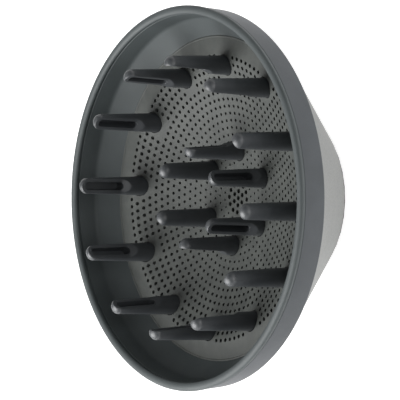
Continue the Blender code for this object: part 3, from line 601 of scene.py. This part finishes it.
# %% Drill the plate
HOLE_RINGS = 20
hole_total = 1 + 3 * HOLE_RINGS * (HOLE_RINGS + 1)
settle(plate, plate_tree, {
    "Holes": hole_total, "Pitch": 2.97 * MM,
    "Smallest Radius": 0.40 * MM, "Growth Per Ring": 0.0215 * MM,
    "Rose Rings": 2.0, "Rose Radius": 0.98 * MM, "Dish Curve": DISH_CURVE,
    "Dish Bottom": PLATE_TOP - DISH_DEPTH, "Outer Ring": OUTER_RING, "Inner Ring": INNER_RING,
    "Seat Radius": 4.4 * MM, "Plain Margin": 1.0 * MM, "Finish": plate_nylon})
plate.data.shade_smooth()
plate.data.set_sharp_from_angle(angle=radians(32))


def measure_closed(piece):
    """Count a mesh's through holes, and the edges that don't have exactly two faces."""
    bm = bmesh.new()
    bm.from_mesh(piece.data)
    loose = sum(1 for edge in bm.edges if len(edge.link_faces) != 2)
    holes = (2 - (len(bm.verts) - len(bm.edges) + len(bm.faces))) // 2
    bm.free()
    return holes, loose


print("through holes and open edges:", measure_closed(plate))
dress(plate, plate_nylon, "plate_plastic", "diffuser_plate")

# %% [markdown]
# ## The fingers
# Each finger is a hollow tapering peg with one side sliced off and a long slot in
# the sliced face.  It is lofted through sections: every section has the same count
# of points, so the round back, the flat face, the slot's wall and its floor run as
# clean lines from foot to tip, and the edges carry small rounds.

# %% Loft one finger
BASE_RADIUS, TIP_RADIUS, NOSE = 4.2 * MM, 3.3 * MM, 3.0 * MM
FOOT_RADIUS, FOOT_THICKNESS = 5.5 * MM, 1.2 * MM
SLOT_HALF, SLOT_TOP, SLOT_LENGTH = 1.65 * MM, 1.7 * MM, 19.0 * MM
SCOOP_WAIST, SCOOP_END = 19.2 * MM, 25.4 * MM
SCOOP_TIP_DEPTH, SCOOP_WAIST_DEPTH = 0.8 * MM, 2.0 * MM
SLOT_FLOOR = -2.3 * MM
EDGE_ROUND, SLOT_ROUND = 0.40 * MM, 0.25 * MM
LEAST_ANGLE = radians(7)
BACK_STEPS = 15
# Levels are closer together where the slot's round ends and the nose curve fastest.
SLOT_END_TURNS = (12, 24, 40, 58, 74, 90)
NOSE_LEAN = radians(88)


def face_depth(drop):
    """Distance from the axis to the sliced face, at a distance below the tip."""
    if drop <= SCOOP_WAIST:
        return SCOOP_TIP_DEPTH + drop / SCOOP_WAIST * (SCOOP_WAIST_DEPTH - SCOOP_TIP_DEPTH)
    share = min(1.0, (drop - SCOOP_WAIST) / (SCOOP_END - SCOOP_WAIST))
    return SCOOP_WAIST_DEPTH + share * share * (3 - 2 * share) * (BASE_RADIUS - SCOOP_WAIST_DEPTH)


def slot_half(drop):
    """Half the slot's width at a distance below the tip; zero outside the slot."""
    from_end = min(drop - SLOT_TOP, SLOT_TOP + SLOT_LENGTH - drop)
    if from_end <= 1e-9:
        return 0.0
    if from_end >= SLOT_HALF:
        return SLOT_HALF
    return sqrt(SLOT_HALF ** 2 - (SLOT_HALF - from_end) ** 2)


def finger_section(radius, depth, half):
    """Half a section, from the middle of the back round to the middle of the slot's floor."""
    corner = acos(max(-1.0, min(depth / radius, cos(LEAST_ANGLE))))
    face = radius * cos(corner)
    width = radius * sin(corner)
    edge = min(EDGE_ROUND, width * 0.4, radius * 0.3)
    stop = corner + edge / radius
    points = []
    for step in range(BACK_STEPS + 1):
        angle = pi - (pi - stop) * step / BACK_STEPS
        points.append(Vector((radius * cos(angle), radius * sin(angle))))
    first, tip, last = points[-1], Vector((face, width)), Vector((face, width - edge))
    for step in (1, 2, 3):
        share = step / 3
        points.append(first.lerp(tip, share).lerp(tip.lerp(last, share), share))
    half = min(half, width * 0.7)
    small = min(SLOT_ROUND, half * 0.6, (width - edge - half) * 0.6)
    points.append(Vector((face, (width - edge + half + small) / 2)))
    first, tip = Vector((face, half + small)), Vector((face, half))
    last = Vector((face - small, half))
    for step in (0, 1, 2, 3):
        share = step / 3
        points.append(first.lerp(tip, share).lerp(tip.lerp(last, share), share))
    floor = SLOT_FLOOR if half > 0 else face
    if half <= 0:
        points[-4:] = [Vector((face, 0.0))] * 4
    points.append(Vector(((face + floor) / 2, half)))
    points.append(Vector((floor, half)))
    points.append(Vector((floor, 0.0)))
    return points


def finger(name, length):
    """One finger standing on the origin; its sliced side faces +X."""
    shoulder = length - NOSE
    drops = []
    for step in range(1, 9):
        lean = NOSE_LEAN * (9 - step) / 9
        drops.append(NOSE - NOSE * sin(lean))
    for turn in SLOT_END_TURNS:
        drops.append(SLOT_TOP + SLOT_HALF * (1 - cos(radians(turn))))
        drops.append(SLOT_TOP + SLOT_LENGTH - SLOT_HALF * (1 - cos(radians(turn))))
    drops += [SLOT_TOP, SLOT_TOP + SLOT_LENGTH]
    for step in range(1, 7):
        drops.append(NOSE + (SCOOP_WAIST - NOSE) * step / 7)
    for step in range(0, 11):
        drops.append(SCOOP_WAIST + (SCOOP_END - SCOOP_WAIST) * step / 10)
    drops += [SCOOP_END + 2 * MM, length - FOOT_THICKNESS]
    drops = sorted(set(round(drop, 7) for drop in drops))
    levels = []
    for drop in drops:
        if drop < NOSE:
            lean = (NOSE - drop) / NOSE
            radius = TIP_RADIUS * sqrt(max(0.0, 1 - lean * lean))
        else:
            share = (drop - NOSE) / (shoulder - FOOT_THICKNESS)
            radius = TIP_RADIUS + share * (BASE_RADIUS - TIP_RADIUS)
        levels.append((length - drop, radius, face_depth(drop), slot_half(drop)))
    levels.append((FOOT_THICKNESS, FOOT_RADIUS, FOOT_RADIUS, 0.0))
    levels.append((0.0, FOOT_RADIUS, FOOT_RADIUS, 0.0))
    bm = bmesh.new()
    rings = []
    for height, radius, depth, half in levels:
        side = finger_section(radius, depth, half)
        loop = side + [Vector((p.x, -p.y)) for p in side[-2:0:-1]]
        rings.append([bm.verts.new((p.x, p.y, height)) for p in loop])
    for upper, lower in zip(rings, rings[1:]):
        for k in range(len(upper)):
            after = (k + 1) % len(upper)
            bm.faces.new((upper[k], upper[after], lower[after], lower[k]))
    bm.faces.new(rings[-1])
    peak = bm.verts.new((0.0, 0.0, length))
    for k in range(len(rings[0])):
        bm.faces.new((rings[0][k], rings[0][(k + 1) % len(rings[0])], peak))
    return keep_mesh(name, bm, 30)


# %% [markdown]
# ### The two rings of fingers
# The outer twelve turn their slots in, and the inner six turn theirs out, so that
# the air meets in the hair between them.

# %% Stand the fingers in their rings
outer_fingers = settle(finger("outer_fingers", TIP_OUTER - FOOT_OUTER), ring_tree, {
    "Count": OUTER_COUNT, "Ring Radius": OUTER_RING, "First Angle": 0.0, "Height": FOOT_OUTER,
    "Own Turn": pi, "Finish": finger_nylon})
dress(outer_fingers, finger_nylon, "finger_plastic",
      *[f"outer_finger_{k:02d}" for k in range(1, OUTER_COUNT + 1)])
inner_fingers = settle(finger("inner_fingers", TIP_INNER - FOOT_INNER), ring_tree, {
    "Count": INNER_COUNT, "Ring Radius": INNER_RING, "First Angle": 0.0, "Height": FOOT_INNER,
    "Own Turn": 0.0, "Finish": finger_nylon})
dress(inner_fingers, finger_nylon, "finger_plastic",
      *[f"inner_finger_{k:02d}" for k in range(1, INNER_COUNT + 1)])

# %% [markdown]
# ## Pieces whose shape is already right
# The spider, liner, spreader, seal, magnets and screws lie inside, or under the
# rest face.  Their engineering shapes are right as they are, so they only get
# better finishes, assigned to their own material slots.

# %% Finish the carried-over nodes
carried = {
    "finger_spider": frame_nylon, "duct_liner": liner_nylon, "flow_spreader": liner_nylon,
    "docking_collar": frame_nylon, "inlet_seal": seal_silicone, "magnet_cover": frame_nylon}
for number in range(1, 9):
    carried[f"magnet_{number}"] = magnet_nickel
for number in range(1, 7):
    carried[f"spider_screw_{number}"] = screw_steel
for number in range(1, 5):
    carried[f"collar_screw_{number}"] = screw_steel
for name, finish in carried.items():
    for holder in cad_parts[name].material_slots:
        holder.material = finish
print("carried over:", len(carried), "nodes")

# %% [markdown]
# ## Studio
# Dark plastic needs a bright room to reflect, and a flat board would end in a hard
# horizon in low views.  So the floor is a round sweep that curves up into a low
# wall, evenly lit.  One wide softbox on the side of the bowl's mouth draws the forms.

# %% Floor and light
SWEEP_RADIUS = 4.0
SWEEP_CURVE = 0.4
SWEEP_TOP = 0.5
SWEEP_SIDES = 96
rings = [(SWEEP_RADIUS - SWEEP_CURVE + SWEEP_CURVE * sin(radians(turn)),
          SWEEP_CURVE - SWEEP_CURVE * cos(radians(turn))) for turn in range(0, 91, 10)]
rings.append((SWEEP_RADIUS, SWEEP_TOP))
sweep_mesh = bmesh.new()
middle = sweep_mesh.verts.new((0, 0, 0))
turns = [2 * pi * k / SWEEP_SIDES for k in range(SWEEP_SIDES)]
loops = [[sweep_mesh.verts.new((radius * cos(turn), radius * sin(turn), height))
          for turn in turns] for radius, height in rings]
for k in range(SWEEP_SIDES):
    after = (k + 1) % SWEEP_SIDES
    sweep_mesh.faces.new((middle, loops[0][k], loops[0][after]))
    for inner, outer in zip(loops, loops[1:]):
        sweep_mesh.faces.new((inner[k], outer[k], outer[after], inner[after]))
floor_data = bpy.data.meshes.new("studio_sweep")
sweep_mesh.to_mesh(floor_data)
sweep_mesh.free()
floor_data.shade_smooth()
floor = bpy.data.objects.new("studio_sweep", floor_data)
bpy.context.scene.collection.objects.link(floor)
board = moulded("pale_light_table", "C8C8C8", "CACACA", 200 * MM, 0.9, 1.5 * MM, 0.01 * MM)
glow = board.node_tree.nodes["Principled BSDF"].inputs
glow["Emission Color"].default_value = (1.0, 1.0, 1.0, 1.0)
glow["Emission Strength"].default_value = 0.85
floor_data.materials.append(board)

scene = bpy.context.scene
scene.view_settings.view_transform = "Standard"
world = bpy.data.worlds.new("soft_room")
scene.world = world
world.use_nodes = True
room = world.node_tree.nodes["Background"].inputs
room["Color"].default_value = (1.0, 1.0, 1.0, 1.0)
room["Strength"].default_value = 0.15


BOWL_MIDDLE = 45 * MM


def softbox(name, place, size, power):
    """A square area light aimed at the middle of the bowl."""
    light = bpy.data.lights.new(name, "AREA")
    light.size = size
    light.energy = power
    holder = bpy.data.objects.new(name, light)
    scene.collection.objects.link(holder)
    aim = Vector((0, 0, BOWL_MIDDLE)) - Vector(place)
    facing = aim.to_track_quat("-Z", "Y").to_matrix().to_4x4()
    holder.matrix_world = Matrix.Translation(place) @ facing


softbox("main_softbox", (-0.80, 0.45, 1.10), 1.3, 42.0)
softbox("rim_softbox", (0.60, 0.70, 0.90), 0.7, 1.5)
softbox("side_softbox", (0.20, -1.20, 0.40), 0.8, 4.5)
print("lights:", len(bpy.data.lights))

# %% [markdown]
# ## Camera
# A long lens from well back keeps the circles of the bowl nearly the same shape from
# near lip to far lip.  The camera could be aimed by a constraint, but three fixed
# directions are exact and need nothing evaluated.

# %% Camera
CAMERA_PLACE = Vector((0.11324, -1.15611, 0.92373))
forward = Vector((-0.07835, 0.79470, -0.60193)).normalized()
right = Vector((0.05906, -0.59903, -0.79855)).normalized()
up = Vector((0.99518, 0.09811, 0.0)).normalized()
ROLL = -0.003316
right_rolled = (right + ROLL * up).normalized()
up_rolled = (up - ROLL * right).normalized()
view = Matrix((right_rolled, up_rolled, -forward)).transposed().to_4x4()
lens = bpy.data.cameras.new("studio_camera")
lens.sensor_width = 36.0
lens.lens = 314.7
camera = bpy.data.objects.new("studio_camera", lens)
scene.collection.objects.link(camera)
camera.matrix_world = Matrix.Translation(CAMERA_PLACE) @ view
scene.camera = camera
